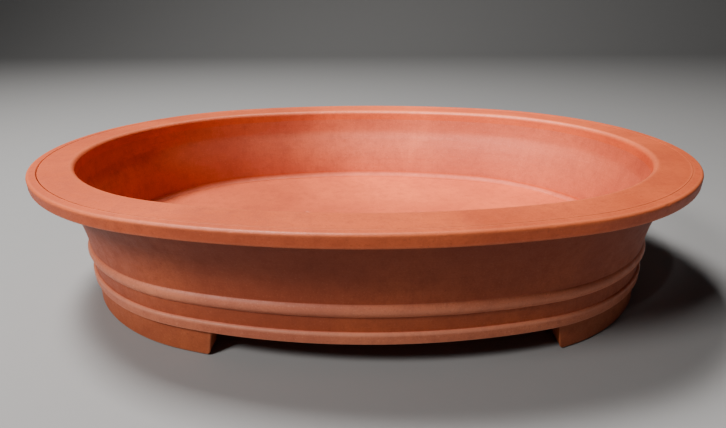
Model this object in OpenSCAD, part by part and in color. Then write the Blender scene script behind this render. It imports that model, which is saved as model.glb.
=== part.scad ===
// Oval bonsai pot in unglazed stoneware: a flared wall with a flat turned-out rim, a rolled rim edge,
// two applied bands, a let-in floor with drainage holes, and four feet left between low arches.
// Millimetres. +X runs along the length, +Z up. The origin is on the ground, at the middle of the plan.

/* [Plan] */
// Plan radius of the rim at each end
end_radius = 166; // [155:1:175]
// Plan radius of the rim at its four shoulders
shoulder_radius = 218; // [210:1:230]
// Plan radius of the rim along each side
side_radius = 548; // [500:1:590]

/* [Rim] */
// Height of the pot, ground to rim top
height = 131; // [120:1:145]
// Thickness of the rim
rim_thickness = 11; // [10:0.5:13]
// Width of the flat rim, rolled edge included
rim_width = 36; // [34:1:38]
// Width of the rolled edge, outer side to seam
roll_width = 8; // [7:0.5:10]
// Radius of the rolled edge's upper corner
roll_top_radius = 2.5; // [2:0.5:5]
// Radius of the rolled edge's lower corner
roll_bottom_radius = 2; // [2:0.5:4]
// Depth of the fine seam between roll and flat, and its width
seam_size = 0.9; // [0.5:0.1:1.5]
// Radius of the lip at the mouth
lip_radius = 4; // [2:0.5:5]

/* [Wall] */
// Plan radius at each end of the line that the body's face is measured in from
body_end_radius = 164; // [156:1:172]
// Plan radius of that line at its four shoulders
body_shoulder_radius = 220.5; // [214:0.5:228]
// Plan radius of that line along each side
body_side_radius = 555.5; // [540:0.5:570]
// How far the body sits off the rim's middle, to the right
body_shift = 2; // [0:0.5:3]
// Distance from that line in to the face of the body
body_inset = 34.5; // [33:0.5:36]
// Thickness of the wall
wall_thickness = 10.5; // [9:0.5:12]
// Height at which the neck starts to curve outwards
neck_start = 52; // [48:1:56]
// How far the neck has curved out where it meets the rim
neck_flare = 17; // [14:0.5:18]

/* [Bands] */
// Height of the upper band's middle
upper_band_height = 52.5; // [50:0.5:54]
// Width of the upper band on the wall
upper_band_width = 10; // [8:0.5:12]
// How far the upper band stands out of the wall
upper_band_relief = 3; // [2:0.5:4]
// Width of the lower band
lower_band_width = 10; // [8:0.5:13]
// How far the lower band stands out of the wall
lower_band_relief = 2.5; // [2:0.5:4]
// Depth of the grooves that the bands are let into
band_groove = 1.5; // [1:0.25:2.5]

/* [Floor] */
// Height of the floor's upper face
floor_top = 48; // [46:0.5:50]
// Thickness of the floor
floor_thickness = 13; // [11:0.5:14]
// Radius of the coil pressed into the corner of wall and floor
coil_radius = 6; // [4:0.5:8]
// Diameter of the two drainage holes
drain_diameter = 30; // [20:1:34]
// Distance between the middles of the drainage holes
drain_spacing = 230; // [200:5:260]
// Diameter of the four tie holes
tie_diameter = 8; // [6:0.5:10]
// Spacing of the tie holes along the length
tie_spacing_long = 124; // [110:2:140]
// Spacing of the tie holes across the width
tie_spacing_wide = 52; // [40:2:60]

/* [Feet] */
// Height of the feet
foot_height = 24; // [20:1:26]
// Thickness of the feet behind the wall's face
foot_thickness = 16; // [15:0.5:20]
// How far the foot's outer face leans out from top to bottom
foot_lean = 1; // [0:0.5:2]
// How far the arch widens from its top to the ground, at each end
foot_draft = 4.5; // [1:0.5:5]
// Radius of the lower corners at the ends of the feet
foot_corner = 4; // [2:0.5:6]
// Distance from the middle to the left feet, along the long sides
arch_left = 114; // [110:1:170]
// Distance from the middle to the right feet, along the long sides
arch_right = 158; // [110:1:170]
// Distance from the long axis to the feet, round each end
arch_end = 50; // [40:1:60]

/* [Hidden] */
$fa = 1.2;
$fs = 0.5;

// A plan line is an oval of eight arcs that meet without a corner, given by its radii at the end, the
// shoulder and the side. Each arc's centre lies on the line through its neighbour's centre and the point
// where the two arcs meet. Those lines lean as the long sides of a 3-4-5 and a 7-24-25 triangle do, so whole
// radii put every centre on a round number.
end_to_shoulder = [4, 3] / 5;
shoulder_to_side = [7, 24] / 25;
rim_line = [end_radius, shoulder_radius, side_radius];
body_line = [body_end_radius, body_shoulder_radius, body_side_radius];
function end_centre(line) =
    (line[1] - line[0]) * [end_to_shoulder[0], 0] + (line[2] - line[1]) * [shoulder_to_side[0], 0];
function shoulder_centre(line) = end_centre(line) - (line[1] - line[0]) * end_to_shoulder;
function side_centre(line) = shoulder_centre(line) - (line[2] - line[1]) * shoulder_to_side;
length = 2 * (end_centre(rim_line)[0] + end_radius);
width = 2 * (side_centre(rim_line)[1] + side_radius);

rim_bottom = height - rim_thickness;
floor_bottom = floor_top - floor_thickness;
wall_inset = body_inset + wall_thickness;
neck_rise = rim_bottom - neck_start;
neck_radius = (neck_rise * neck_rise + neck_flare * neck_flare) / (2 * neck_flare);
neck_centre = [neck_radius - body_inset, neck_start];
groove_inset = body_inset + band_groove;
upper_band_radius = (pow(upper_band_width / 2, 2) + pow(upper_band_relief, 2)) / (2 * upper_band_relief);
foot_inset = body_inset + foot_thickness;
tongue_width = 6;     // the wall's tongue under the rim
tongue_height = 4;
tongue_inset = 24;
roll_lap = 4;         // the rolled edge's ledge under the flat of the rim
roll_lap_height = 3;
coil_feather = 0.4;   // thickness at which the coil's edges run out
foot_edge = 2;        // rounding of a foot's long lower edges
foot_setback = 0.5;   // step back from the wall's face to the top of a foot
blank_inset = 75;     // inner side of the solid that the wall's hollow is cut from
hollow_inset = 90;    // inner side of the ring that cuts it
past = 1;             // how far a cutting shape runs past what it cuts

roll_colour = "#C06A4B";
rim_colour = "#BE6548";
wall_colour = "#A5523A";
floor_colour = "#C4694C";
band_colour = "#B25C41";
foot_colour = "#A8543B";

// ---- Sweeping a section round the oval ----
// A section is drawn with its x measured from a plan line, outwards, and its y upwards. What shows outside
// below the rim goes round the body's line, and the rest goes round the rim's line, so the mouth stays true.

// One arc of the oval: a half turn about the arc's centre, kept between two directions from it
module arc_sweep(centre, radius, first, last, start = 0) {
    reach = 2 * side_radius;
    intersection() {
        translate(centre) rotate([0, 0, start]) rotate_extrude(angle = 180)
            translate([radius, 0]) children();
        translate([0, 0, -past]) linear_extrude(height + 2 * past)
            polygon([centre, centre + reach * first, centre + reach * last]);
    }
}

module shoulder_sweep(line) {
    arc_sweep(shoulder_centre(line), line[1], end_to_shoulder, shoulder_to_side) children();
}

module round_the(line) {
    for (turn = [0, 180]) rotate([0, 0, turn]) {
        arc_sweep(end_centre(line), line[0], [end_to_shoulder[0], -end_to_shoulder[1]], end_to_shoulder, -90)
            children();
        shoulder_sweep(line) children();
        mirror([1, 0, 0]) shoulder_sweep(line) children();
        arc_sweep(side_centre(line), line[2], shoulder_to_side, [-shoulder_to_side[0], shoulder_to_side[1]])
            children();
    }
}

module round_the_rim() {
    round_the(rim_line) children();
}

module round_the_body() {
    translate([body_shift, 0, 0]) round_the(body_line) children();
}

// A rectangle between two insets and two heights
module bar(outer, inner, bottom, top) {
    translate([-inner, bottom]) square([inner - outer, top - bottom]);
}

// The waste outside a rounded corner, with the corner at the origin and the material towards +x, +y
module corner_waste(radius) {
    difference() {
        translate([-past, -past]) square(radius + past);
        translate([radius, radius]) circle(radius);
    }
}

// ---- Sections ----

// The outside of the wall, solid a long way in
module wall_blank_section() {
    difference() {
        union() {
            bar(body_inset, blank_inset, foot_height, neck_start);
            bar(body_inset - neck_flare, blank_inset, neck_start, rim_bottom);
        }
        translate(neck_centre) circle(neck_radius);
        upper_band_section();
        lower_band_section();
    }
}

// The inside: upright to where the neck starts, then out with the neck's curve as far as the mouth
module hollow_section() {
    bar(wall_inset, hollow_inset, foot_height - past, neck_start + past);
    difference() {
        bar(rim_width, hollow_inset, neck_start, rim_bottom + past);
        translate(neck_centre) circle(neck_radius + wall_thickness);
    }
}

module tongue_section() {
    bar(tongue_inset, tongue_inset + tongue_width, rim_bottom, rim_bottom + tongue_height);
}

module upper_band_section() {
    intersection() {
        bar(0, groove_inset, 0, rim_bottom);
        translate([upper_band_relief - body_inset - upper_band_radius, upper_band_height])
            circle(upper_band_radius);
    }
}

module lower_band_section() {
    face = body_inset - lower_band_relief;
    top = foot_height + lower_band_width;
    difference() {
        bar(face, groove_inset, foot_height, top);
        translate([-face, top]) rotate(180) corner_waste(lower_band_relief);
        translate([-face, foot_height]) rotate(90) corner_waste(1);
    }
}

module roll_section() {
    difference() {
        union() {
            bar(0, roll_width, rim_bottom, height);
            bar(0, roll_width + roll_lap, rim_bottom, rim_bottom + roll_lap_height);
        }
        translate([0, height]) rotate(180) corner_waste(roll_top_radius);
        translate([0, rim_bottom]) rotate(90) corner_waste(roll_bottom_radius);
        seam_section();
    }
}

// The fine V cut along the joint of roll and flat
module seam_section() {
    polygon([
        [-roll_width - seam_size / 2, height + past],
        [-roll_width - seam_size / 2, height],
        [-roll_width, height - seam_size],
        [-roll_width + seam_size / 2, height],
        [-roll_width + seam_size / 2, height + past]
    ]);
}

module rim_section() {
    difference() {
        bar(roll_width, rim_width, rim_bottom, height);
        roll_section();
        tongue_section();
        seam_section();
        translate([-rim_width, height]) rotate(-90) corner_waste(lip_radius);
    }
}

module coil_section() {
    reach = coil_radius + coil_feather;
    difference() {
        bar(wall_inset, wall_inset + reach, floor_top, floor_top + reach);
        translate([-wall_inset - reach, floor_top + reach]) circle(coil_radius);
    }
}

// A foot's outer face and ground line, solid a long way in
module foot_blank_section() {
    top_inset = body_inset + foot_setback;
    difference() {
        polygon([
            [-top_inset, foot_height],
            [-top_inset, floor_bottom + past],
            [-blank_inset, floor_bottom + past],
            [-blank_inset, 0],
            [foot_lean - top_inset, 0]
        ]);
        translate([foot_lean - top_inset, 0]) rotate(90) corner_waste(foot_edge);
    }
}

// A foot's top under the wall, its rebate behind the wall's skirt, and its inner face
module foot_rebate_section() {
    difference() {
        polygon([
            [0, foot_height],
            [-wall_inset, foot_height],
            [-wall_inset, floor_bottom],
            [-foot_inset, floor_bottom],
            [-foot_inset, -past],
            [0, -past]
        ]);
        translate([-foot_inset, 0]) corner_waste(foot_edge);
    }
}

// ---- Feet ----

// A foot seen from the side of the pot: it lies towards -x, its end face leans back on its way down from
// the origin's line, and short flats round its lower corner
module foot_side() {
    reach = length;
    flats = 6;
    lean = atan(foot_draft / foot_height);
    corner = [-foot_draft - foot_corner * (1 / cos(lean) - tan(lean)), foot_corner];
    turn = 90 - lean;
    polygon(concat(
        [[-reach, -past], [corner[0], -past]],
        [for (i = [0:flats]) corner + foot_corner * [cos(turn * i / flats - 90), sin(turn * i / flats - 90)]],
        [[0, foot_height], [0, floor_bottom + past], [-reach, floor_bottom + past]]
    ));
}

// side and front are -1 or 1, and say which quarter of the plan the foot stands in
module foot(side, front, arch) {
    color(foot_colour) intersection() {
        round_the_body() foot_blank_section();
        round_the_rim() foot_rebate_section();
        scale([-side, 1, 1]) translate([-arch, 0, 0]) rotate([90, 0, 0])
            linear_extrude(2 * width, center = true) foot_side();
        scale([1, front, 1]) translate([0, -arch_end, 0]) rotate([90, 0, 90])
            linear_extrude(2 * length, center = true) foot_side();
    }
}

// ---- Sub-parts ----

module wall() {
    color(wall_colour) {
        difference() {
            round_the_body() wall_blank_section();
            round_the_rim() hollow_section();
        }
        round_the_rim() tongue_section();
    }
}

module rim() {
    color(rim_colour) round_the_rim() rim_section();
}

module rim_roll() {
    color(roll_colour) round_the_rim() roll_section();
}

module hole(x, y, diameter) {
    translate([x, y, floor_bottom - past]) cylinder(d = diameter, h = floor_thickness + 2 * past);
}

module floor_slab() {
    color(floor_colour) difference() {
        translate([-length / 2, -width / 2, floor_bottom]) cube([length, width, floor_thickness]);
        round_the_rim() bar(-length / 2, wall_inset, floor_bottom - past, floor_top + past);
        for (side = [-1, 1]) hole(side * drain_spacing / 2, 0, drain_diameter);
        for (side = [-1, 1], front = [-1, 1])
            hole(side * tie_spacing_long / 2, front * tie_spacing_wide / 2, tie_diameter);
    }
}

module corner_coil() {
    color(floor_colour) round_the_rim() coil_section();
}

module upper_band() {
    color(band_colour) round_the_body() upper_band_section();
}

module lower_band() {
    color(band_colour) round_the_body() lower_band_section();
}

wall();
rim();
rim_roll();
floor_slab();  // floor
corner_coil();
upper_band();
lower_band();
foot(-1, 1, arch_left);  // foot_front_left
foot(1, 1, arch_right);  // foot_front_right
foot(-1, -1, arch_left);  // foot_back_left
foot(1, -1, arch_right);  // foot_back_right
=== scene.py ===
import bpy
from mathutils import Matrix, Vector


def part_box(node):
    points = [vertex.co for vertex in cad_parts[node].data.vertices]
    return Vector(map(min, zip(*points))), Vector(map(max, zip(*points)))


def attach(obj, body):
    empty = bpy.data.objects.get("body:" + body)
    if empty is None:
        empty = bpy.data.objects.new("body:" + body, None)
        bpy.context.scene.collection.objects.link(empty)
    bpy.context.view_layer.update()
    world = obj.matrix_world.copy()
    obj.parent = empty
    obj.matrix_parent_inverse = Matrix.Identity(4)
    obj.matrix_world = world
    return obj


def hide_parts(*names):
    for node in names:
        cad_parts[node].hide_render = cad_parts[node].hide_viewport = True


bl_info = {
    "name": "Oval bonsai pot",
    "version": (1, 0, 0),
    "blender": (4, 5, 0),
    "location": "View3D > Sidebar > Pot",
    "description": "An oval bonsai pot in unglazed red stoneware, made piece by piece round the packed frame",
    "category": "Add Mesh",
}

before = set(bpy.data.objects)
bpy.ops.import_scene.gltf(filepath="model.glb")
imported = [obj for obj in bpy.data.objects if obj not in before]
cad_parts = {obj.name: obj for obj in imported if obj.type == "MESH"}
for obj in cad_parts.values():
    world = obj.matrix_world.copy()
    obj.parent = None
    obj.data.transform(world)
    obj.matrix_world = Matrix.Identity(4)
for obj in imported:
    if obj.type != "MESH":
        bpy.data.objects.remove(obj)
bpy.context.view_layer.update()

import math

import bmesh
import bpy
import numpy as np
from bpy.props import FloatProperty, FloatVectorProperty, PointerProperty
from mathutils import Matrix, Vector
from mathutils.geometry import delaunay_2d_cdt

MM = 0.001
BODY = "root"

# Heights and reaches that the frame already holds
HALF_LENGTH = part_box("rim_roll")[1].x
RIM_BOTTOM, RIM_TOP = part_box("rim_roll")[0].z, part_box("rim_roll")[1].z
FOOT_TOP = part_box("lower_band")[0].z
LOWER_BAND_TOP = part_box("lower_band")[1].z
UPPER_BAND_LOW, UPPER_BAND_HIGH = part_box("upper_band")[0].z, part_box("upper_band")[1].z
FLOOR_BOTTOM, FLOOR_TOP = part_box("floor")[0].z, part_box("floor")[1].z
FACE_INSIDE = HALF_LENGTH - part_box("floor")[1].x

# Hidden joints: the wall's tongue, which stands in the rim, and the rolled edge's ledge, which lies under it
TONGUE_OUTER, TONGUE_INNER, TONGUE_HEIGHT = 24 * MM, 30 * MM, 4 * MM
LEDGE_WIDTH, LEDGE_HEIGHT = 4 * MM, 3 * MM

# How the meshes are made
ARC_STEPS = 7               # stretches in each rounded corner of a section
SHARP = math.radians(35)    # a corner that turns further than this is an end face
EDGE_RADIUS = 3 * MM        # rounder than this, an edge gets less wear and painted highlight, a crease less dust and painted shade
BLEND = 5 * MM              # how far behind the grooves the rim's line takes over
SEAM_EDGE = 0.35 * MM       # rounding of the two edges of the seam
FEATHER = 0.1 * MM          # thin run-out of a smoothed edge into the face behind it
HOLE_EDGE = 1.5 * MM        # rounding of the holes' edges
FLOOR_NET = 4.5 * MM        # spacing of the points on the floor
NET_LONG, NET_WIDE = 270 * MM, 170 * MM    # how far the net of them reaches, past the floor's edge
FLOOR_SAG = 0.25 * MM       # half the depth of the floor's hollows
FOOT_EDGE = 1.6 * MM        # rounding of the feet's end faces
FOOT_STATIONS = 150


# ---- Sizes and colours that a user would change ----


def linear(hex_colour):
    """Linear RGB from an sRGB hex colour: c / 12.92 below 0.04045, ((c + 0.055) / 1.055) ** 2.4 above."""
    srgb = np.array([int(hex_colour[i:i + 2], 16) for i in (1, 3, 5)]) / 255
    return tuple(np.where(srgb <= 0.04045, srgb / 12.92, ((srgb + 0.055) / 1.055) ** 2.4).tolist())


def length_of(name, description, millimetres):
    """A length property, with its default given in millimetres."""
    return FloatProperty(
        name=name, description=description, default=millimetres * MM, min=0, precision=5, unit="LENGTH"
    )


def colour_of(name, description, hex_colour):
    """A colour property, with its default given as an sRGB hex colour."""
    return FloatVectorProperty(
        name=name, description=description, subtype="COLOR", size=3, min=0, max=1, default=linear(hex_colour)
    )


def power_of(name, description, watts):
    """A light's power property."""
    return FloatProperty(name=name, description=description, default=watts, min=0, unit="POWER")


class PotForm(bpy.types.PropertyGroup):
    """The sizes that the sections and the plan are drawn from"""

    end_radius: length_of("End radius", "Plan radius of the rim at each end", 166)
    shoulder_radius: length_of("Shoulder radius", "Plan radius of the rim at its four shoulders", 218)
    side_radius: length_of("Side radius", "Plan radius of the rim along each side", 548)
    body_end_radius: length_of("Body end radius", "Plan radius of the body's line at each end", 164)
    body_shoulder_radius: length_of(
        "Body shoulder radius", "Plan radius of the body's line at its four shoulders", 220.5
    )
    body_side_radius: length_of("Body side radius", "Plan radius of the body's line along each side", 555.5)
    body_shift: length_of("Body shift", "How far the body sits off the rim's middle, to the right", 2)
    rim_width: length_of("Rim width", "Width of the flat rim, rolled edge included", 36)
    roll_width: length_of("Roll width", "Width of the rolled edge, outer side to seam", 8)
    roll_top: length_of("Roll top", "Radius of the rolled edge's upper corner", 2.5)
    roll_bottom: length_of("Roll bottom", "Radius of the rolled edge's lower corner", 2)
    lip: length_of("Lip", "Radius of the lip at the mouth", 4)
    body_inset: length_of("Body inset", "From the rim's outer line in to the face of the body", 34.5)
    neck_start: length_of("Neck start", "Height at which the neck starts to curve outwards", 52)
    neck_radius: length_of("Neck radius", "Radius of the neck's curve on its outside", 144.5)
    upper_relief: length_of("Upper band", "How far the upper band stands out from the body", 3)
    lower_relief: length_of("Lower band", "How far the lower band stands out from the body", 2.5)
    groove: length_of("Groove", "Depth of the grooves behind the bands", 1.5)
    coil: length_of("Corner coil", "Radius of the coil smoothed into the corner of wall and floor", 6.2)
    drain: length_of("Drain hole", "Radius of the two drainage holes", 15)
    drain_spacing: length_of("Drain spacing", "Between the middles of the drainage holes", 230)
    tie: length_of("Tie hole", "Radius of the four tie holes", 4)
    tie_long: length_of("Tie spacing, long", "Spacing of the tie holes along the length", 124)
    tie_wide: length_of("Tie spacing, wide", "Spacing of the tie holes across the width", 52)
    foot_thickness: length_of("Foot thickness", "Thickness of the feet behind the face of the body", 16)
    foot_draft: length_of("Foot draft", "How far an arch widens from its top to the ground, at each end", 4.5)
    foot_corner: length_of("Foot corner", "Radius of the lower corners at the ends of the feet", 4)
    arch_left: length_of("Left arch", "From the middle to the left feet, along the long sides", 114)
    arch_right: length_of("Right arch", "From the middle to the right feet, along the long sides", 158)
    arch_end: length_of("End arch", "From the long axis to the feet, round each end", 50)


class PotFinish(bpy.types.PropertyGroup):
    """The traces of the maker's hand, and the fired colours"""

    waves: length_of("Waves", "How deep the hands' slow waves are", 0.3)
    rings: length_of("Rings", "How deep the rings left by the turning tool are", 0.07)
    seam_width: length_of("Seam width", "Width of the line cut between rolled edge and rim", 1.3)
    seam_depth: length_of("Seam depth", "Depth of that line at the left end, where it is deepest", 1.2)
    soft_edge: length_of("Soft edge", "Rounding where a band or a foot meets the next face", 0.8)
    rim_colour: colour_of("Rim", "Fired clay of the rim", "#CE5A30")
    wall_colour: colour_of("Wall", "Fired clay of the wall", "#B5532E")
    inner_colour: colour_of("Inside", "Fired clay of the wall's inside", "#C66040")
    floor_colour: colour_of("Floor", "Fired clay of the floor", "#CA5830")
    band_colour: colour_of("Bands", "Fired clay of the bands", "#DA7A57")
    foot_colour: colour_of("Feet", "Fired clay of the feet", "#BE5E36")


class PotStage(bpy.types.PropertyGroup):
    """Floor, light and camera"""

    floor_colour: colour_of("Floor", "Colour of the studio floor", "#959391")
    key_power: power_of("Key light", "Power of the light overhead", 60)
    side_power: power_of("Side light", "Power of the light at the left", 23)
    beam_power: power_of("Beam", "Power of the narrow light", 250)
    sky: FloatProperty(name="Fill", description="Strength of the light from all round", default=0.03, min=0)
    lens: FloatProperty(name="Lens", description="Focal length on a 36 mm sensor", default=24.51, unit="CAMERA")
    camera_place: FloatVectorProperty(
        name="Camera",
        description="Where the camera stands",
        default=(0.01297, -0.46692, 0.25917),
        unit="LENGTH",
    )
    camera_turn: FloatVectorProperty(
        name="Camera turn",
        description="Heading to the left, tilt up from straight down, and roll",
        default=[math.radians(x) for x in (1.501, 66.727, -0.487)],
        unit="ROTATION",
    )


# ---- The oval ----


def unit(vectors):
    """Vectors scaled to length one; a vector of no length stays as it is."""
    size = np.linalg.norm(vectors, axis=-1, keepdims=True)
    return vectors / np.where(size > 0, size, 1)


def oval_arcs(line):
    """The eight arcs of a plan line: first normal angles with the closing one, radii, and centres.

    The line is given by its radii at the end, the shoulder and the side. The arcs change at the angles of a
    3-4-5 triangle, t and 2t with tan t = 3/4. Each centre lies on the line from its neighbour's centre to the
    point where the two arcs meet, at the difference of the two radii.
    """
    end_radius, shoulder_radius, side_radius = line
    turn = math.atan2(3, 4)
    starts = np.array([-turn, turn, 2 * turn, math.pi - 2 * turn, math.pi - turn, math.pi + turn,
                       math.pi + 2 * turn, 2 * math.pi - 2 * turn, 2 * math.pi - turn])
    end_step, side_step = shoulder_radius - end_radius, side_radius - shoulder_radius
    shoulder = np.array([side_step * math.cos(2 * turn), -end_step * math.sin(turn)])
    end = np.array([shoulder[0] + end_step * math.cos(turn), 0])
    side = np.array([0, shoulder[1] - side_step * math.sin(2 * turn)])
    centres = np.array([end, shoulder, side, shoulder * (-1, 1), -end, -shoulder, -side, shoulder * (1, -1)])
    radii = np.array([end_radius, shoulder_radius, side_radius, shoulder_radius] * 2)
    return starts, radii, centres


def rim_line(form):
    """Radii of the rim's outer line."""
    return form.end_radius, form.shoulder_radius, form.side_radius


def body_line(form):
    """Radii of the line that the body's face is measured in from."""
    return form.body_end_radius, form.body_shoulder_radius, form.body_side_radius


def oval_angles(form, count):
    """Normal angles of count stations evenly spaced along the rim, and its length: radius times angle."""
    starts, radii, _ = oval_arcs(rim_line(form))
    lengths = np.concatenate([[0], np.cumsum(radii * np.diff(starts))])
    return np.interp(np.linspace(0, lengths[-1], count, endpoint=False), lengths, starts), lengths[-1]


def oval_points(form, angle, inset, share=0.0, side=1):
    """Points inset from a plan line, centre + (radius - inset) (cos angle, sin angle), and their normals.

    share is 0 on the rim's line and 1 on the body's, which is shifted along x, and mixes the two in between.
    A side of -1 is for pieces that are mirrored afterwards.
    """
    angle, inset, share = np.broadcast_arrays(angle, inset, share)
    normal = np.stack([np.cos(angle), np.sin(angle)], -1)
    points = 0
    lines = ((rim_line(form), 1 - share, 0), (body_line(form), share, side * form.body_shift))
    for line, part, shift in lines:
        starts, radii, centres = oval_arcs(line)
        arc = np.searchsorted(starts, (angle - starts[0]) % (2 * math.pi) + starts[0], side="right") - 1
        arc = np.clip(arc, 0, len(radii) - 1)
        found = centres[arc] + (radii[arc] - inset)[..., None] * normal + (shift, 0)
        points = points + part[..., None] * found
    return points, normal


# ---- Sections ----



def outline(corners, step):
    """A closed section through corners (inset, height, radius), up the outside and then down the inside.

    Each corner gives way to the arc that touches both its sides: centre + radius (cos, sin) over the turn
    from one side to the other. Then sides are split so that no stretch is longer than step.
    """
    corners = np.array(corners, float)
    here, radius = corners[:, :2], corners[:, 2]
    back, ahead = unit(np.roll(here, 1, 0) - here), unit(np.roll(here, -1, 0) - here)
    half = np.arccos(np.clip((back * ahead).sum(1), -1, 1)) / 2
    centre = here + unit(back + ahead) * (radius / np.sin(half))[:, None]
    first = here + back * (radius / np.tan(half))[:, None] - centre
    sweep = (math.pi - 2 * half) * np.sign(back[:, 1] * ahead[:, 0] - back[:, 0] * ahead[:, 1])
    turn = sweep[:, None] * np.linspace(0, 1, ARC_STEPS + 1)
    x = centre[:, :1] + first[:, :1] * np.cos(turn) - first[:, 1:] * np.sin(turn)
    y = centre[:, 1:] + first[:, :1] * np.sin(turn) + first[:, 1:] * np.cos(turn)
    points = np.stack([x, y], -1).reshape(-1, 2)
    gaps = np.linalg.norm(np.roll(points, -1, 0) - points, axis=1)
    points = points[gaps > 1e-7]
    ahead = np.roll(points, -1, 0)
    parts = np.ceil(np.linalg.norm(ahead - points, axis=1) / step).astype(int)
    share = np.concatenate([np.arange(n) / n for n in parts])[:, None]
    return np.repeat(points, parts, 0) * (1 - share) + np.repeat(ahead, parts, 0) * share


def section_facts(points):
    """For each point of a closed section: its outward direction, the length so far, and how sharply it bends.

    Outwards is a quarter turn from the way the outline runs. The bend is the turn between the two
    neighbouring stretches over their mean length, positive on an edge and negative in a crease. Sharp corners
    are where a piece ends against the next one: they move level and don't count as bends, so no joint shows.
    """
    before, after = points - np.roll(points, 1, 0), np.roll(points, -1, 0) - points
    along = unit(unit(before) + unit(after))
    out = np.stack([-along[:, 1], along[:, 0]], -1)
    cross = before[:, 1] * after[:, 0] - before[:, 0] * after[:, 1]
    mean = (np.linalg.norm(before, axis=1) + np.linalg.norm(after, axis=1)) / 2
    turn = np.arctan2(cross, (before * after).sum(1))
    run = np.concatenate([[0], np.cumsum(np.linalg.norm(after, axis=1))])
    sharp = np.abs(turn) > SHARP
    out[sharp] = np.column_stack([np.sign(out[sharp, 0]), np.zeros(sharp.sum())])
    return out, run, np.where(sharp, 0, turn / mean)


def neck_inset(form, height, thickness=0.0):
    """Inset of the wall's outer face, or of the face that thickness further in.

    Upright below the neck's start; above it a circle about a centre outside the pot at that height:
    inset = body inset - neck radius + sqrt((neck radius + thickness)^2 - rise^2).
    """
    rise = np.maximum(np.asarray(height) - form.neck_start, 0)
    return form.body_inset - form.neck_radius + np.sqrt((form.neck_radius + thickness) ** 2 - rise ** 2)


def body_share(form, inset, height):
    """1 on what shows outside, where the body's line is followed, then a straight fall to 0 further in."""
    return np.clip(1 - (inset - neck_inset(form, height) - form.groove) / BLEND, 0, 1)


def wall_section(form):
    """Wall with its tongue. The inside runs smoothly from upright at the mouth into the neck's curve: half
    the sum of the two insets plus the square root of (half their difference)^2 + crease^2.
    """
    crease, dip = 0.6 * MM, 0.6 * MM
    groove = form.body_inset + form.groove
    thickness = FACE_INSIDE - form.body_inset
    low, high = UPPER_BAND_LOW, UPPER_BAND_HIGH
    rise = np.linspace(high, RIM_BOTTOM, 24)
    fall = np.linspace(RIM_BOTTOM, form.neck_start, 26)
    over = (neck_inset(form, fall, thickness) - form.rim_width) / 2
    inside = form.rim_width + over + np.hypot(over, crease)
    return [
        (groove, FOOT_TOP, 0),
        (groove, LOWER_BAND_TOP, 0),
        (form.body_inset, LOWER_BAND_TOP, 0),
        (form.body_inset, low, 0),
        (groove, low - dip, 0),
        (groove, high + dip, 0),
        *[(neck_inset(form, z), z, 0) for z in rise],
        (TONGUE_OUTER, RIM_BOTTOM, 0),
        (TONGUE_OUTER, RIM_BOTTOM + TONGUE_HEIGHT, 0),
        (TONGUE_INNER, RIM_BOTTOM + TONGUE_HEIGHT, 0),
        (TONGUE_INNER, RIM_BOTTOM, 0),
        *[(x, z, 0) for x, z in zip(inside, fall)],
        (FACE_INSIDE, FOOT_TOP, 0),
    ]


def rim_section(form, finish):
    """The flat rim: a ledge cut out below the seam, a rounded lip, and a groove for the wall's tongue."""
    ledge = form.roll_width + LEDGE_WIDTH
    return [
        (ledge, RIM_BOTTOM, 0),
        (ledge, RIM_BOTTOM + LEDGE_HEIGHT, 0),
        (form.roll_width, RIM_BOTTOM + LEDGE_HEIGHT, 0),
        (form.roll_width, RIM_TOP - finish.seam_depth, FEATHER),
        (form.roll_width + finish.seam_width / 2, RIM_TOP, SEAM_EDGE),
        (form.rim_width, RIM_TOP, form.lip),
        (form.rim_width, RIM_BOTTOM, 0),
        (TONGUE_INNER, RIM_BOTTOM, 0),
        (TONGUE_INNER, RIM_BOTTOM + TONGUE_HEIGHT, 0),
        (TONGUE_OUTER, RIM_BOTTOM + TONGUE_HEIGHT, 0),
        (TONGUE_OUTER, RIM_BOTTOM, 0),
    ]


def roll_section(form, finish):
    """The rolled edge, rounded outside, with the ledge that laps under the flat."""
    ledge = form.roll_width + LEDGE_WIDTH
    return [
        (0, RIM_BOTTOM, form.roll_bottom),
        (0, RIM_TOP, form.roll_top),
        (form.roll_width - finish.seam_width / 2, RIM_TOP, SEAM_EDGE),
        (form.roll_width, RIM_TOP - finish.seam_depth, FEATHER),
        (form.roll_width, RIM_BOTTOM + LEDGE_HEIGHT, 0),
        (ledge, RIM_BOTTOM + LEDGE_HEIGHT, 0),
        (ledge, RIM_BOTTOM, 0),
    ]


def upper_band_section(form, finish):
    """Half round: a circle through the crown and both lines on the wall, with slip smoothed into them."""
    height, half_width = (UPPER_BAND_LOW + UPPER_BAND_HIGH) / 2, (UPPER_BAND_HIGH - UPPER_BAND_LOW) / 2
    radius = (half_width ** 2 + form.upper_relief ** 2) / (2 * form.upper_relief)
    middle = form.body_inset - form.upper_relief + radius
    groove = form.body_inset + form.groove
    top = neck_inset(form, UPPER_BAND_HIGH)
    shown = 0.86    # the share of the circle that the smoothed slip leaves bare
    turns = np.arcsin(half_width / radius) * np.linspace(-shown, shown, 15)
    slip, dip = 1.2 * MM, 0.6 * MM
    return [
        (groove, UPPER_BAND_LOW - dip, 0),
        (form.body_inset + FEATHER, UPPER_BAND_LOW - slip, 0),
        (form.body_inset, UPPER_BAND_LOW, finish.soft_edge),
        *[(middle - radius * math.cos(t), height + radius * math.sin(t), 0) for t in turns],
        (top, UPPER_BAND_HIGH, finish.soft_edge),
        (top + FEATHER, UPPER_BAND_HIGH + slip, 0),
        (groove, UPPER_BAND_HIGH + dip, 0),
    ]


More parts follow.
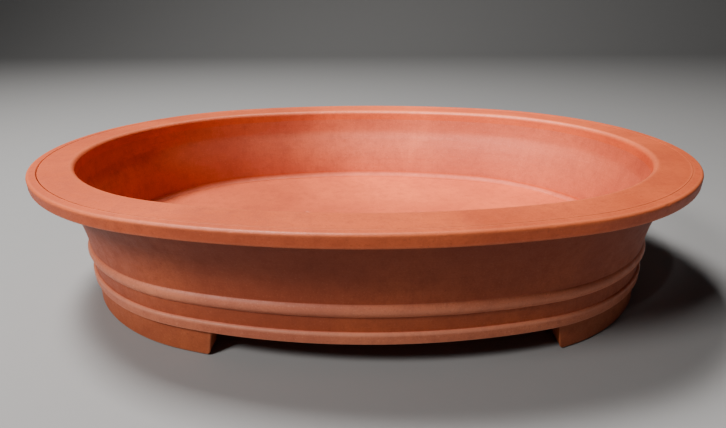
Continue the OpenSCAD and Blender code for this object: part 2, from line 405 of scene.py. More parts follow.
def lower_band_section(form):
    """A thicker strip with its upper edge rounded over, run out thin on the wall above it."""
    groove = form.body_inset + form.groove
    out = form.body_inset - form.lower_relief
    lower_edge, upper_edge, slip = 1 * MM, 2.4 * MM, 0.8 * MM
    return [
        (groove, FOOT_TOP, 0),
        (out, FOOT_TOP, lower_edge),
        (out, LOWER_BAND_TOP, upper_edge),
        (form.body_inset, LOWER_BAND_TOP, FEATHER),
        (form.body_inset + FEATHER, LOWER_BAND_TOP + slip, 0),
        (groove, LOWER_BAND_TOP, 0),
    ]


def coil_section(form):
    """A hollow quarter circle from wall to floor, about a centre one radius from both, run out thin."""
    thin = 0.15 * MM
    reach = form.coil + thin
    turns = np.linspace(math.pi, 1.5 * math.pi, 14)
    centre = (FACE_INSIDE + reach, FLOOR_TOP + reach)
    return [
        (FACE_INSIDE, FLOOR_TOP, 0),
        (FACE_INSIDE, FLOOR_TOP + reach, 0),
        *[(centre[0] + form.coil * math.cos(t), centre[1] + form.coil * math.sin(t), 0) for t in turns],
        (FACE_INSIDE + reach, FLOOR_TOP, 0),
    ]


def foot_section(form):
    """Outer face leaning out to the ground, and a rebate that rises behind the wall to the floor."""
    back = form.body_inset + form.foot_thickness
    lean, ground_edge, top_edge, hidden_edge = 0.5 * MM, 2 * MM, 0.4 * MM, 0.3 * MM
    return [
        (form.body_inset - lean, 0, ground_edge),
        (form.body_inset + lean, FOOT_TOP, top_edge),
        (FACE_INSIDE, FOOT_TOP, 0),
        (FACE_INSIDE, FLOOR_BOTTOM, hidden_edge),
        (back, FLOOR_BOTTOM, hidden_edge),
        (back, 0, ground_edge),
    ]


# ---- Traces of the hand ----

# Small knocks on the edges: where round the pot in degrees, inset, height, breadth and depth in millimetres
KNOCKS = (
    (304, 1.3, 129.6, 1.7, 0.9),
    (307, 1.0, 129.0, 1.1, 0.6),
    (283, 1.2, 129.6, 1.3, 0.5),
    (262, 1.2, 129.8, 1.2, 0.5),
    (250, 0.8, 128.8, 1.0, 0.4),
    (228, 1.5, 129.9, 1.0, 0.4),
    (187, 1.3, 129.6, 1.4, 0.5),
    (171, 7.2, 130.9, 1.3, 0.4),
    (131, 1.1, 129.5, 1.6, 0.6),
    (78, 1.3, 129.6, 1.5, 0.6),
    (46, 1.0, 129.4, 1.2, 0.5),
    (12, 1.2, 129.6, 1.4, 0.6),
    (243, 34.2, 130.0, 1.2, 0.4),
    (96, 34.0, 129.8, 1.4, 0.4),
)


def hand_work(finish, angle, inset, height):
    """How far a surface lies inside its drawn place.

    Slow waves run round the pot, (1 + sines of the angle and the height) / 2 times their depth. Rings run
    along it: sines of inset + height, which grows along walls and tops alike. They drift a little with the
    angle.
    """
    slow = (2 + np.sin(2 * angle + 0.7) + np.sin(5 * angle + 38 * height + 2.1)) / 4
    across = inset + height
    rings = sum(
        np.sin(2 * math.pi * across / (spacing * MM) + drift * np.sin(turns * angle + turns))
        for spacing, drift, turns in ((6.1, 1.1, 2), (8.7, 1.7, 3), (13.9, 2.3, 1))
    )
    return finish.waves * slow + finish.rings * (3 + rings) / 6


def knocks(form, places):
    """Depth of the small knocks at each place, and how marked the clay is there.

    Each knock is depth * exp(-(distance / breadth)^2) about its middle, with its height squeezed to 0.58.
    """
    dent, mark = np.zeros(places.shape[:-1]), np.zeros(places.shape[:-1])
    for degrees, inset, height, breadth, depth in KNOCKS:
        middle = oval_points(form, math.radians(degrees), inset * MM)[0]
        middle = np.array([*middle, height * MM])
        away = (places - middle) / (breadth * MM)
        bell = np.exp(-(away[..., 0] ** 2 + away[..., 1] ** 2 + 3 * away[..., 2] ** 2))
        dent += depth * MM * bell
        mark += bell
    return dent, np.clip(mark, 0, 1)


# ---- Meshes ----


def grid_faces(rows, columns, close_rows, close_columns):
    """Corner numbers of the quads of a grid: each quad runs along the rows first, then along the columns."""
    i, j = np.mgrid[:rows - (not close_rows), :columns - (not close_columns)]
    next_i, next_j = (i + 1) % rows, (j + 1) % columns
    corners = [i * columns + j, next_i * columns + j, next_i * columns + next_j, i * columns + next_j]
    return np.stack(corners, -1)


def mesh_piece(name, places, faces, uv=None, edge=None, mark=None, inside=None):
    """A smooth object at the origin from arrays: places, faces, uv at face corners, values at the points."""
    places, faces = places.reshape(-1, 3), faces.reshape(-1, faces.shape[-1])
    mesh = bpy.data.meshes.new(name)
    mesh.from_pydata(places, [], faces)
    if uv is not None:
        mesh.uv_layers.new(name="along").data.foreach_set("uv", uv.astype(np.float32).ravel())
    for title, values in (("edge", edge), ("mark", mark), ("inside", inside)):
        held = mesh.attributes.new(title, "FLOAT", "POINT")
        values = np.zeros(len(places)) if values is None else values
        held.data.foreach_set("value", values.astype(np.float32).ravel())
    mesh.polygons.foreach_set("use_smooth", np.ones(len(faces), bool))
    mesh.validate()
    mesh.set_sharp_from_angle(angle=SHARP)
    piece = bpy.data.objects.new(name, mesh)
    bpy.context.scene.collection.objects.link(piece)
    return piece


def ring_piece(name, form, finish, corners, step, stations, shape=None, of_body=False):
    """A section carried round the whole oval.

    Place = oval point at (angle, inset) with the section's height, moved in along the section's outward
    direction by the hand's work and the knocks. The map is (length round the pot, length along the section).
    A piece of the body follows the body's line on its outside.
    """
    section = outline(corners, step)
    out, run, bend = section_facts(section)
    angle, around = oval_angles(form, stations)
    inset, height = section[None, :, 0], section[None, :, 1]
    share = body_share(form, inset, height) if of_body else 0.0
    flat, normal = oval_points(form, angle[:, None], inset, share)
    places = np.dstack([flat, np.broadcast_to(height, flat.shape[:2])])
    if shape is not None:
        places = shape(form, finish, places, angle[:, None], inset)
    dent, mark = knocks(form, places)
    depth = hand_work(finish, angle[:, None], inset, height) + dent
    outward = np.dstack([-out[:, 0, None] * normal, np.broadcast_to(out[None, :, 1], flat.shape[:2])])
    places = places - outward * depth[..., None]
    faces = grid_faces(stations, len(section), True, True)
    u = np.linspace(0, around, stations + 1)
    lines = np.stack(np.meshgrid(u, run, indexing="ij"), -1)
    uv = np.stack([lines[:-1, :-1], lines[1:, :-1], lines[1:, 1:], lines[:-1, 1:]], 2)
    # Bend as edge: edges paled, part wear and part painted highlight; creases darkened, part dust and part
    # painted shade
    edge = np.clip(bend * EDGE_RADIUS, -1, 1)
    edge = (edge + np.roll(edge, 1) + np.roll(edge, -1)) / 3
    edge, inside = np.broadcast_arrays(edge, 1 - share, mark)[:2]
    return mesh_piece(name, places, faces, uv, edge, mark, inside)


def fade_seam(form, finish, places, angle, inset):
    """The seam is cut full depth round the left end and dies away to almost nothing.

    Its depth below the rim's top is scaled by least + (1 - least) exp(-(angle from the left end / spread)^4),
    with a wider spread towards the back than towards the front.
    """
    least, front, back = 0.03, math.radians(36), math.radians(75)
    off = np.angle(np.exp(1j * (angle - math.pi)))
    scale = least + (1 - least) * np.exp(-(off / np.where(off > 0, front, back)) ** 4)
    near = np.abs(inset - form.roll_width) < finish.seam_width
    in_seam = near & (places[..., 2] > RIM_TOP - 1.5 * finish.seam_depth)
    sunk = RIM_TOP - (RIM_TOP - places[..., 2]) * scale
    places[..., 2] = np.where(in_seam, sunk, places[..., 2])
    return places


def settle(piece, slot, material, *nodes):
    """The piece rides on the pot, takes the material's finish and stands for its frame nodes; slot is not used.
    """
    piece.data.materials.append(material)
    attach(piece, BODY)
    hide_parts(*nodes)


# ---- Clay ----


def node(tree, kind, settings=(), links=()):
    """Adds a shader node. Settings pair attributes or sockets with values, and links sockets with outputs."""
    made = tree.nodes.new("ShaderNode" + kind)
    for key, value in settings:
        if isinstance(key, str) and hasattr(made, key):
            setattr(made, key, value)
        else:
            made.inputs[key].default_value = value
    for socket, output in links:
        tree.links.new(output, made.inputs[socket])
    return made


def fired_clay(name, colour, rough, turned, streaked=0.0, inner=None, shade=0.0):
    """Unglazed red stoneware, fired once to a dense matt body.

    Gives the eye: broad warm and cool patches from the kiln, a fine sandy grain, sparse pale and dark specks,
    edges made paler, partly as rubbed wear and partly as a painted highlight, and creases made darker, partly
    as dust and partly as painted shade. turned is how strongly the tool's fine rings show, streaked how
    strongly the wiping marks run down the face, inner the colour where the "inside" attribute is 1, and shade
    how much painted shade darkens the outside towards the rim's underside, where the rim's overhang shades it.
    """
    material = bpy.data.materials.new(name)
    material.use_nodes = True
    tree = material.node_tree
    tree.nodes.clear()
    place = node(tree, "TexCoord").outputs["Object"]
    along = node(tree, "SeparateXYZ", (), [(0, node(tree, "UVMap", [("uv_map", "along")]).outputs["UV"])])
    spot = node(tree, "SeparateXYZ", (), [(0, place)])
    # Rings: noise squeezed to 1.7 mm across the surface and drawn out 40 times as far along it
    ring_place = node(tree, "CombineXYZ", (), [(2, along.outputs[1])])
    drawn = node(tree, "VectorMath", [("operation", "MULTIPLY"), (1, (0.025, 0.025, 0.0))], [(0, place)])
    ring_place = node(tree, "VectorMath", [("operation", "ADD")],
                      [(0, ring_place.outputs[0]), (1, drawn.outputs[0])])
    rings = node(tree, "TexNoise", [("Scale", 1 / (1.7 * MM)), ("Detail", 2.0), ("Roughness", 0.6)],
                 [("Vector", ring_place.outputs[0])]).outputs[0]
    # Wiping marks: 3 mm wide and 14 times as tall
    fall_place = node(tree, "VectorMath", [("operation", "MULTIPLY"), (1, (1.0, 1.0, 0.07))], [(0, place)])
    streaks = node(tree, "TexNoise", [("Scale", 1 / (3 * MM)), ("Detail", 4.0), ("Roughness", 0.6)],
                   [("Vector", fall_place.outputs[0])]).outputs[0]
    patches = node(tree, "TexNoise", [("Scale", 1 / (95 * MM)), ("Detail", 3.0), ("Distortion", 0.6)],
                   [("Vector", place)]).outputs[0]
    mottle = node(tree, "TexNoise", [("Scale", 1 / (9 * MM)), ("Detail", 5.0), ("Roughness", 0.62)],
                  [("Vector", place)]).outputs[0]
    # Grit of 0.4 mm, drawn as 1.5 mm so that it shows
    grain = node(tree, "TexNoise", [("Scale", 1 / (1.5 * MM)), ("Detail", 2.0), ("Roughness", 0.7)],
                 [("Vector", place)]).outputs[0]

    def share(source, low, high, start=0.0, end=1.0):
        settings = [("From Min", low), ("From Max", high), ("To Min", start), ("To Max", end)]
        return node(tree, "MapRange", settings, [("Value", source)]).outputs[0]

    def mixed(factor, first, second):
        settings = [("data_type", "RGBA")]
        links = [(0, factor)]
        for socket, value in ((6, first), (7, second)):
            if isinstance(value, tuple):
                settings.append((socket, (*value, 1.0)))
            else:
                links.append((socket, value))
        return node(tree, "Mix", settings, links).outputs[2]

    def maths(operation, first, second):
        settings = [("operation", operation)]
        links = [(0, first)]
        if isinstance(second, float):
            settings.append((1, second))
        else:
            links.append((1, second))
        return node(tree, "Math", settings, links).outputs[0]

    def specks(cell, radius, odds, seed):
        """Round spots of that radius in a share of the cells, cell wide, of a scattered pattern."""
        moved = node(tree, "VectorMath", [("operation", "ADD"), (1, (seed, seed, seed))], [(0, place)])
        cells = node(tree, "TexVoronoi", [("Scale", 1 / cell)], [("Vector", moved.outputs[0])])
        spot_on = share(cells.outputs["Distance"], radius / cell, 0.6 * radius / cell)
        chosen = node(tree, "SeparateColor", (), [(0, cells.outputs["Color"])]).outputs[0]
        return maths("MULTIPLY", spot_on, share(chosen, 1 - odds, 1 - odds + 0.01))

    base = tuple(colour)
    cool = tuple(np.array(base) * (0.80, 0.74, 0.76))
    warm = tuple(np.minimum(np.array(base) * (1.10, 1.16, 1.10), 1))
    pale = tuple(np.minimum(np.array(base) * (1.25, 1.9, 2.4), 1))
    iron = tuple(np.array(base) * (0.28, 0.22, 0.25))
    tone = mixed(share(patches, 0.3, 0.7), cool, warm)
    dark = tuple(np.array(base) * (0.62, 0.54, 0.56))
    tone = mixed(share(mottle, 0.45, 0.72, 0.0, 0.45), tone, dark)
    tone = mixed(share(streaks, 0.5, 0.72, 0.0, streaked), tone, dark)
    tone = mixed(share(grain, 0.56, 0.74, 0.0, 0.55), tone, dark)
    tone = mixed(share(grain, 0.42, 0.27, 0.0, 0.35), tone, pale)
    tone = mixed(share(rings, 0.55, 0.75, 0.0, 0.22 * turned), tone, dark)
    tone = mixed(maths("MULTIPLY", specks(11 * MM, 0.55 * MM, 0.22, 0.31), 0.75), tone, pale)
    tone = mixed(maths("MULTIPLY", specks(6 * MM, 0.45 * MM, 0.25, 1.7), 0.6), tone, iron)
    edge = node(tree, "Attribute", [("attribute_name", "edge")]).outputs["Fac"]
    mark = node(tree, "Attribute", [("attribute_name", "mark")]).outputs["Fac"]
    if inner is not None:
        inside = node(tree, "Attribute", [("attribute_name", "inside")]).outputs["Fac"]
        # The inside takes the lighter inner colour; the outside keeps the wall colour
        lightened = node(tree, "Mix", [("data_type", "RGBA"), ("blend_type", "MULTIPLY"),
                                  (7, (*(np.array(inner) / np.array(base)).tolist(), 1.0))],
                    [(0, inside), (6, tone)]).outputs[2]
        # Painted shade: the outside darkens from 8 mm above the upper band up to the rim's underside, under the
        # overhang
        deep = share(spot.outputs[2], UPPER_BAND_HIGH + 8 * MM, RIM_BOTTOM, 0.0, shade)
        deep = maths("MULTIPLY", deep, share(inside, 0.0, 0.5, 1.0, 0.0))
        tone = mixed(deep, lightened, tuple(np.array(base) * (0.30, 0.22, 0.22)))
    # Edges paled, part wear and part painted highlight; creases darkened, part dust and part painted shade
    tone = mixed(share(edge, 0.15, 0.9, 0.0, 0.30), tone, pale)
    tone = mixed(share(edge, -0.1, -0.8, 0.0, 0.55), tone, dark)
    tone = mixed(maths("MULTIPLY", mark, 0.35), tone, pale)

    roughness = share(mottle, 0.3, 0.7, rough - 0.06, rough + 0.06)
    roughness = maths("ADD", roughness, share(grain, 0.3, 0.7, -0.04, 0.04))
    pits = specks(3.2 * MM, 0.5 * MM, 0.30, 3.3)
    relief = node(tree, "Bump", [("Strength", turned), ("Distance", 0.09 * MM)], [("Height", rings)])
    relief = node(tree, "Bump", [("Strength", 1.0), ("Distance", 0.10 * MM)],
                  [("Height", grain), ("Normal", relief.outputs[0])])
    relief = node(tree, "Bump", [("Strength", 0.6), ("Distance", 0.5 * MM)],
                  [("Height", mottle), ("Normal", relief.outputs[0])])
    relief = node(tree, "Bump", [("Strength", 0.8), ("Distance", 0.15 * MM), ("invert", True)],
                  [("Height", pits), ("Normal", relief.outputs[0])])
    shader = node(tree, "BsdfPrincipled", [("IOR", 1.5), ("Specular IOR Level", 0.4)],
                  [("Base Color", tone), ("Roughness", roughness), ("Normal", relief.outputs[0])])
    node(tree, "OutputMaterial", (), [("Surface", shader.outputs[0])])
    return material


def rim_clay(finish):
    """Wiped and burnished flat: the smoothest and lightest face, with fine rings."""
    return fired_clay("burnished_stoneware_rim", finish.rim_colour, rough=0.50, turned=0.7)


def wall_clay(finish):
    """Turned and wiped: rings round the pot, faint streaks that run down it, a lighter inside, and painted
    shade on the outside under the rim.
    """
    return fired_clay("turned_stoneware_wall", finish.wall_colour, rough=0.56, turned=0.8, streaked=0.22,
                      inner=tuple(finish.inner_colour), shade=0.75)


def floor_clay(finish):
    """Beaten slab, rougher than the wall."""
    return fired_clay("beaten_stoneware_floor", finish.floor_colour, rough=0.62, turned=0.3)


def band_clay(finish):
    """Applied strips smoothed with a wet finger."""
    return fired_clay("smoothed_stoneware_bands", finish.band_colour, rough=0.52, turned=0.5)


def foot_clay(finish):
    """Cut with a wire and wiped: a little coarser and darker."""
    return fired_clay("cut_stoneware_feet", finish.foot_colour, rough=0.60, turned=0.4)


# ---- Pieces ----


class PieceMaker(bpy.types.Operator):
    """What the operators share: they act on the scene's own sizes"""

    bl_idname = "pot.piece_maker"
    bl_label = "Make a piece"
    bl_options = {"REGISTER", "UNDO"}

    def make(self, form, finish):
        raise NotImplementedError

    def execute(self, context):
        self.make(context.scene.pot_form, context.scene.pot_finish)
        return {"FINISHED"}


class POT_OT_wall(PieceMaker):
    """Make the wall: upright above the feet, then flared out to carry the rim"""

    bl_idname = "pot.wall"
    bl_label = "Wall"

    def make(self, form, finish):
        piece = ring_piece(
            "wall_clay", form, finish, wall_section(form), step=2.0 * MM, stations=640, of_body=True
        )
        settle(piece, "wall_clay", wall_clay(finish), "wall")


class POT_OT_rim(PieceMaker):
    """Make the flat rim with its softly rounded lip"""

    bl_idname = "pot.rim"
    bl_label = "Rim"

    def make(self, form, finish):
        piece = ring_piece(
            "rim_flat", form, finish, rim_section(form, finish), step=1.1 * MM, stations=900, shape=fade_seam
        )
        settle(piece, "rim_clay", rim_clay(finish), "rim")


class POT_OT_roll(PieceMaker):
    """Make the rolled edge luted round the rim"""

    bl_idname = "pot.roll"
    bl_label = "Rolled edge"

    def make(self, form, finish):
        piece = ring_piece(
            "rim_rolled_edge", form, finish, roll_section(form, finish), step=0.8 * MM, stations=1100,
            shape=fade_seam,
        )
        settle(piece, "rim_clay", rim_clay(finish), "rim_roll")


class POT_OT_coil(PieceMaker):
    """Make the coil smoothed into the corner of wall and floor"""

    bl_idname = "pot.coil"
    bl_label = "Corner coil"

    def make(self, form, finish):
        piece = ring_piece(
            "corner_coil_smoothed", form, finish, coil_section(form), step=1.2 * MM, stations=640
        )
        settle(piece, "floor_clay", floor_clay(finish), "corner_coil")


class POT_OT_bands(PieceMaker):
    """Make the two applied bands"""

    bl_idname = "pot.bands"
    bl_label = "Bands"

    def make(self, form, finish):
        clay = band_clay(finish)
        upper = ring_piece("band_upper", form, finish, upper_band_section(form, finish),
                           step=0.7 * MM, stations=900, of_body=True)
        lower = ring_piece("band_lower", form, finish, lower_band_section(form),
                           step=0.8 * MM, stations=900, of_body=True)
        settle(upper, "band_clay", clay, "upper_band")
        settle(lower, "band_clay", clay, "lower_band")


class POT_OT_floor(PieceMaker):
    """Make the floor slab with its drainage and tie holes"""

    bl_idname = "pot.floor"
    bl_label = "Floor"

    def make(self, form, finish):
        piece = floor_piece(form)
        settle(piece, "floor_clay", floor_clay(finish), "floor")


def floor_piece(form):
    """A slab: a flat net between the oval inset line and the holes' outer circles, laid at the top and at the
    bottom, an upright strip round its edge, and in each hole a sleeve that rounds over into both faces."""
    angle, _ = oval_angles(form, 360)
    edge_line = oval_points(form, angle, FACE_INSIDE)[0]
    holes = [(x * form.drain_spacing / 2, 0, form.drain, 64) for x in (-1, 1)]
    holes += [(x * form.tie_long / 2, y * form.tie_wide / 2, form.tie, 32) for x in (-1, 1) for y in (-1, 1)]
    loops = [edge_line]
    for x, y, radius, count in holes:
        turn = np.linspace(0, 2 * math.pi, count, endpoint=False)
        loops.append((x, y) + (radius + HOLE_EDGE) * np.column_stack([np.cos(turn), np.sin(turn)]))
    x, y = np.mgrid[-NET_LONG:NET_LONG:FLOOR_NET, -NET_WIDE:NET_WIDE:FLOOR_NET]
    net = np.stack([x + FLOOR_NET / 2 * (np.arange(y.shape[1]) % 2), y], -1).reshape(-1, 2)
    offset = net[:, None] - edge_line[None]
    facing = np.stack([np.cos(angle), np.sin(angle)], -1)
    inner = ((offset * facing[None]).sum(-1) < 0).all(1)
    inner &= np.linalg.norm(offset, axis=2).min(1) > 0.6 * FLOOR_NET
    for x, y, radius, _ in holes:
        inner &= np.hypot(net[:, 0] - x, net[:, 1] - y) > radius + HOLE_EDGE + 0.5 * FLOOR_NET
    points = np.concatenate([*loops, net[inner]])
    firsts = np.cumsum([0, *[len(loop) for loop in loops]])
    ties = [
        (int(first + k), int(first + (k + 1) % len(loop)))
        for first, loop in zip(firsts, loops) for k in range(len(loop))
    ]
    found = delaunay_2d_cdt([Vector(p) for p in points], ties, [], 0, 1e-7)
    flat, triangles = np.array([tuple(p) for p in found[0]]), np.array(found[2])
    middle = flat[triangles].mean(1)
    kept = np.ones(len(triangles), bool)
    for x, y, radius, _ in holes:
        kept &= np.hypot(middle[:, 0] - x, middle[:, 1] - y) > radius + 0.6 * HOLE_EDGE
    triangles = triangles[kept]
    corner = flat[triangles]
    turned = np.cross(corner[:, 1] - corner[:, 0], corner[:, 2] - corner[:, 0]) < 0
    triangles[turned] = triangles[turned][:, ::-1]
    sag = FLOOR_SAG * (1 + np.sin(31 * flat[:, 0] + 1) * np.sin(43 * flat[:, 1])) * from_edge(flat, loops)
    top = np.column_stack([flat, FLOOR_TOP - sag])
    bottom = np.column_stack([flat, np.full(len(flat), FLOOR_BOTTOM)])
    parts = [(top, triangles), (bottom, triangles[:, ::-1])]
    strip = np.stack(
        [np.column_stack([edge_line, np.full(len(edge_line), z)]) for z in (FLOOR_BOTTOM, FLOOR_TOP)], 1
    )
    parts.append((strip.reshape(-1, 3), grid_faces(len(edge_line), 2, True, False).reshape(-1, 4)))
    for x, y, radius, count in holes:
        turn = np.linspace(0, 2 * math.pi, count, endpoint=False)
        bend = np.linspace(0, math.pi / 2, 6)
        flare = np.concatenate([1 - np.sin(bend), 1 - np.cos(bend)])
        level = np.concatenate([FLOOR_TOP - HOLE_EDGE * (1 - np.cos(bend)),
                                FLOOR_BOTTOM + HOLE_EDGE * (1 - np.sin(bend))])
        sleeve_radius = radius + HOLE_EDGE * flare
        sleeve = np.stack([
            x + np.outer(np.cos(turn), sleeve_radius),
            y + np.outer(np.sin(turn), sleeve_radius),
            np.broadcast_to(level, (count, len(level))),
        ], -1)
        parts.append((sleeve.reshape(-1, 3), grid_faces(count, len(level), True, False).reshape(-1, 4)))
    return joined("floor_slab", parts)


def from_edge(flat, loops):
    """0 on every loop, rising to 1 over the first 25 mm away from all of them."""
    gaps = [np.linalg.norm(flat[:, None] - loop[None], axis=2).min(1) for loop in loops]
    return np.clip(np.min(gaps, axis=0) / (25 * MM), 0, 1)


def joined(name, parts):
    """One closed mesh from (places, faces) parts that share their border points; its map is the plan."""
    made = bmesh.new()
    for places, faces in parts:
        corners = [made.verts.new(p) for p in places]
        for face in faces:
            made.faces.new([corners[k] for k in face])
    bmesh.ops.remove_doubles(made, verts=made.verts, dist=1e-5)
    made.verts.index_update()
    mesh = bpy.data.meshes.new(name)
    made.to_mesh(mesh)
    made.free()
    uv = mesh.uv_layers.new(name="along")
    loops = np.zeros(len(mesh.loops), int)
    mesh.loops.foreach_get("vertex_index", loops)
    flat = np.zeros(len(mesh.vertices) * 3)
    mesh.vertices.foreach_get("co", flat)
    flat = flat.reshape(-1, 3)
    uv.data.foreach_set("uv", flat[loops][:, :2].astype(np.float32).ravel())
    for title in ("edge", "mark"):
        mesh.attributes.new(title, "FLOAT", "POINT")
    mesh.polygons.foreach_set("use_smooth", np.ones(len(mesh.polygons), bool))
    mesh.set_sharp_from_angle(angle=SHARP)
    piece = bpy.data.objects.new(name, mesh)
    bpy.context.scene.collection.objects.link(piece)
    return piece


class POT_OT_feet(PieceMaker):
    """Make the four feet left between the arches"""

    bl_idname = "pot.feet"
    bl_label = "Feet"

    def make(self, form, finish):
        clay = foot_clay(finish)
        for side, side_name, arch in ((-1, "left", form.arch_left), (1, "right", form.arch_right)):
            for front, front_name in ((-1, "front"), (1, "back")):
                piece = foot_piece(f"foot_{front_name}_{side_name}_cut", form, finish, side, front, arch)
                settle(piece, "foot_clay", clay, f"foot_{front_name}_{side_name}")


def solve_angle(form, inset, share, side, axis, value):
    """Normal angle in the first quarter where the inset line's x or y (axis 0 or 1) is value, by halving."""
    low, high = np.zeros(inset.shape), np.full(inset.shape, math.pi / 2)
    for _ in range(40):
        middle = (low + high) / 2
        past = oval_points(form, middle, inset, share, side)[0][..., axis] < value
        if axis == 0:
            low, high = np.where(past, low, middle), np.where(past, middle, high)
        else:
            low, high = np.where(past, middle, low), np.where(past, high, middle)
    return (low + high) / 2


def foot_piece(name, form, finish, side, front, arch):
    """A section carried round one quarter of the oval between two leaning end faces.

    The end face at height z stands draft * (1 - z / height) further into the foot, and below the corner
    radius r also r - sqrt(r^2 - (r - z)^2). Its edges are rounded: a row w = e (1 - sin t) from the end is
    the section drawn in towards its middle by e (1 - cos t). The end closes on that middle.
    """
    section = outline(foot_section(form), 1.2 * MM)
    middle = np.array([FACE_INSIDE + 2 * MM, FOOT_TOP * 0.8])
    rounding = FOOT_EDGE
    turn = np.linspace(math.pi / 2, 0, 7)
    shrink = np.concatenate([[1, 0.6, 0.25], np.zeros(len(turn))])
    pull = np.concatenate([[rounding] * 3, rounding * (1 - np.cos(turn))])
    away = np.concatenate([[0, 0, 0], rounding * (1 - np.sin(turn))])
    stations = FOOT_STATIONS
    shrink = np.concatenate([shrink, np.zeros(stations), shrink[::-1]])
    pull = np.concatenate([pull, np.zeros(stations), pull[::-1]])
    steps = np.arange(1, stations + 1) / (stations + 1)
    share = np.concatenate([np.zeros(len(away)), steps, np.ones(len(away))])
    off = np.concatenate([away, np.full(stations, 0), -away[::-1]])
    to_middle = middle - section
    drawn = section[None] + unit(to_middle)[None] * pull[:, None, None]
    drawn = drawn + (middle - drawn) * shrink[:, None, None]
    inset, height = drawn[..., 0], np.maximum(drawn[..., 1], 0)
    corner = form.foot_corner
    rise = np.maximum(corner - height, 0)
    lean = form.foot_draft * (1 - height / FOOT_TOP)
    lean = lean + corner - np.sqrt(np.maximum(corner ** 2 - rise ** 2, 0))
    line = body_share(form, inset, height)
    first = solve_angle(form, inset, line, side, 1, form.arch_end + lean)
    last = solve_angle(form, inset, line, side, 0, arch + lean)
    margin_first = rounding / (form.end_radius - inset)
    margin_last = rounding / (form.side_radius - inset)
    body = first + margin_first + (last - first - margin_first - margin_last) * share[:, None]
    offset = np.where(share[:, None] == 0, off[:, None] / (form.end_radius - inset), 0)
    offset_last = np.where(share[:, None] == 1, off[:, None] / (form.side_radius - inset), 0)
    angle = np.where(share[:, None] == 0, first + offset, body)
    angle = np.where(share[:, None] == 1, last + offset_last, angle)
    flat, normal = oval_points(form, angle, inset, line, side)
    depth = 0.4 * hand_work(finish, angle, inset, height)
    inwards = unit(middle - drawn)
    flat = flat - normal * (inwards[..., :1] * depth[..., None])
    height = np.where(height > 0.3 * MM, height + inwards[..., 1] * depth * (height > 2 * MM), height)
    places = np.dstack([flat * (side, front), height])
    faces = grid_faces(len(share), len(section), False, True)
    run = np.concatenate([[0], np.cumsum(np.linalg.norm(np.roll(section, -1, 0) - section, axis=1))])
    u = np.broadcast_to(np.cumsum(np.concatenate([[0], np.full(len(share) - 1, 2 * MM)]))[:, None],
                        (len(share), len(run)))
    lines = np.stack([u, np.broadcast_to(run, u.shape)], -1)
    uv = np.stack([lines[:-1, :-1], lines[1:, :-1], lines[1:, 1:], lines[:-1, 1:]], 2)
    if side * front < 0:
        faces, uv = faces[..., ::-1], uv[:, :, ::-1]
    _, _, bend = section_facts(section)
    edge = np.clip(bend * EDGE_RADIUS, -1, 1)
    # The rounded ends are paled like edges: part wear, part painted highlight
    lightened = np.maximum(np.broadcast_to(edge, places.shape[:2]), (np.abs(off) > 0)[:, None] * 0.6)
    piece = mesh_piece(name, places, faces, uv, lightened)
    closed = bmesh.new()
    closed.from_mesh(piece.data)
    bmesh.ops.remove_doubles(closed, verts=closed.verts, dist=1e-6)
    closed.to_mesh(piece.data)
    closed.free()
    return piece


# ---- Stage ----


class POT_OT_stage(bpy.types.Operator):
    """Set the floor, the lights and the camera"""

    bl_idname = "pot.stage"
    bl_label = "Stage"
    bl_options = {"REGISTER", "UNDO"}

    def execute(self, context):
        stage = context.scene.pot_stage
        studio_floor(stage)
        soft_light("key", place=(-0.6, 0.2, 1.9), aim=(0.0, 0.0, 0.1), size=0.5, power=stage.key_power)
        soft_light("side", place=(-1.0, -0.85, 1.3), aim=(0.0, -0.1, 0.04), size=0.4, power=stage.side_power)
        beam("beam", place=(-0.3, -0.9, 1.4), aim=(0.12, 0.14, 0.08), power=stage.beam_power)
        world_light(context.scene, stage.sky)
        camera(context.scene, stage)
        return {"FINISHED"}


def studio_floor(stage):
    """A floor that turns up into a wall behind: a straight run, a quarter circle, and a straight rise."""
    turn = np.linspace(0, math.pi / 2, 16)
    reach, radius, width = 2.2, 0.9, 8.0
    y = np.concatenate([[-4.0], reach + radius * np.sin(turn), [reach + radius]])
    z = np.concatenate([[0.0], radius * (1 - np.cos(turn)), [4.0]])
    x = np.linspace(-width / 2, width / 2, 9)
    places = np.stack([np.broadcast_to(x[:, None], (len(x), len(y))), np.broadcast_to(y, (len(x), len(y))),
                       np.broadcast_to(z, (len(x), len(y)))], -1)
    floor = mesh_piece("studio_floor", places, grid_faces(len(x), len(y), False, False))
    matt = bpy.data.materials.new("matt_studio_paper")
    matt.use_nodes = True
    tree = matt.node_tree
    place = node(tree, "TexCoord").outputs["Object"]
    fibre = node(tree, "TexNoise", [("Scale", 40.0), ("Detail", 4.0)], [("Vector", place)])
    colour = tuple(stage.floor_colour)
    darker = [c * 0.97 for c in colour]
    tone = node(tree, "Mix", [("data_type", "RGBA"), (6, (*darker, 1)), (7, (*colour, 1))],
                [(0, fibre.outputs[0])])
    shader = tree.nodes["Principled BSDF"]
    shader.inputs["Roughness"].default_value = 0.9
    tree.links.new(tone.outputs[2], shader.inputs["Base Color"])
    floor.data.materials.append(matt)


def hang(light, place, aim, power):
    """Puts a light at its place, turned to its aim."""
    light.energy = power
    held = bpy.data.objects.new(light.name, light)
    held.location = place
    held.rotation_euler = (Vector(aim) - Vector(place)).to_track_quat("-Z", "Y").to_euler()
    bpy.context.scene.collection.objects.link(held)


def soft_light(name, place, aim, size, power):
    """A square light of that size."""
    light = bpy.data.lights.new(name, "AREA")
    light.size = size
    hang(light, place, aim, power)


def beam(name, place, aim, power):
    """A narrow soft-edged light, aimed at the far inner wall."""
    light = bpy.data.lights.new(name, "SPOT")
    light.shadow_soft_size = 0.08
    light.spot_size = math.radians(15)
    light.spot_blend = 1.0
    hang(light, place, aim, power)


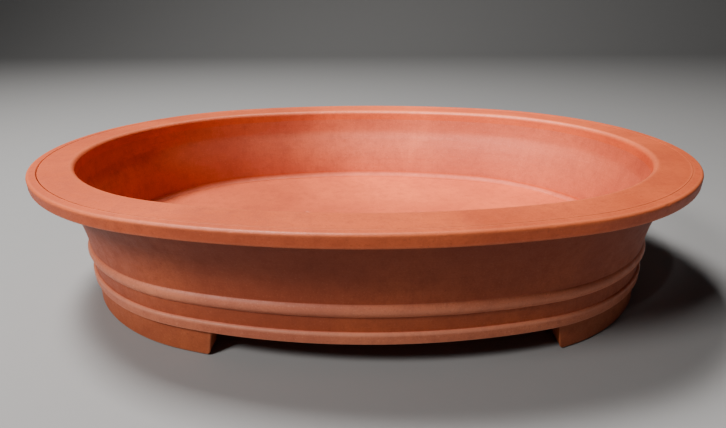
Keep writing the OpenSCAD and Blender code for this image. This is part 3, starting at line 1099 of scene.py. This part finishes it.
def world_light(scene, strength):
    """An even, slightly cool light from all round."""
    world = bpy.data.worlds.new("even_light")
    world.use_nodes = True
    background = world.node_tree.nodes["Background"]
    background.inputs["Color"].default_value = (*linear("#DDE4EC"), 1)
    background.inputs["Strength"].default_value = strength
    scene.world = world


def camera(scene, stage):
    """A camera turned by its roll, then tilted up from straight down, then turned to its heading."""
    lens = bpy.data.cameras.new("camera")
    lens.lens = stage.lens
    lens.sensor_width = 36
    held = bpy.data.objects.new("camera", lens)
    heading, tilt, roll = stage.camera_turn
    held.matrix_world = (
        Matrix.Translation(stage.camera_place)
        @ Matrix.Rotation(heading, 4, "Z")
        @ Matrix.Rotation(tilt, 4, "X")
        @ Matrix.Rotation(roll, 4, "Z")
    )
    scene.collection.objects.link(held)
    scene.camera = held


# ---- Panel and registration ----


class POT_PT_sidebar(bpy.types.Panel):
    """The pot's pieces in the order they are made, with the sizes and colours they are made from"""

    bl_idname = "POT_PT_sidebar"
    bl_label = "Oval bonsai pot"
    bl_space_type = "VIEW_3D"
    bl_region_type = "UI"
    bl_category = "Pot"

    def draw(self, context):
        for operator in OPERATORS:
            self.layout.operator(operator.bl_idname)
        for group in (context.scene.pot_form, context.scene.pot_finish, context.scene.pot_stage):
            box = self.layout.box()
            for name in group.bl_rna.properties.keys():
                if name not in ("rna_type", "name"):
                    box.prop(group, name)


OPERATORS = (
    POT_OT_wall, POT_OT_rim, POT_OT_roll, POT_OT_floor, POT_OT_coil, POT_OT_bands, POT_OT_feet, POT_OT_stage,
)
GROUPS = (("pot_form", PotForm), ("pot_finish", PotFinish), ("pot_stage", PotStage))


def register():
    for name, group in GROUPS:
        bpy.utils.register_class(group)
        setattr(bpy.types.Scene, name, PointerProperty(type=group))
    for shown in (*OPERATORS, POT_PT_sidebar):
        bpy.utils.register_class(shown)


def unregister():
    for shown in (POT_PT_sidebar, *reversed(OPERATORS)):
        bpy.utils.unregister_class(shown)
    for name, group in reversed(GROUPS):
        delattr(bpy.types.Scene, name)
        bpy.utils.unregister_class(group)


def main():
    register()
    for operator in OPERATORS:
        family, name = operator.bl_idname.split(".")
        getattr(getattr(bpy.ops, family), name)()


if __name__ == "__main__":
    main()
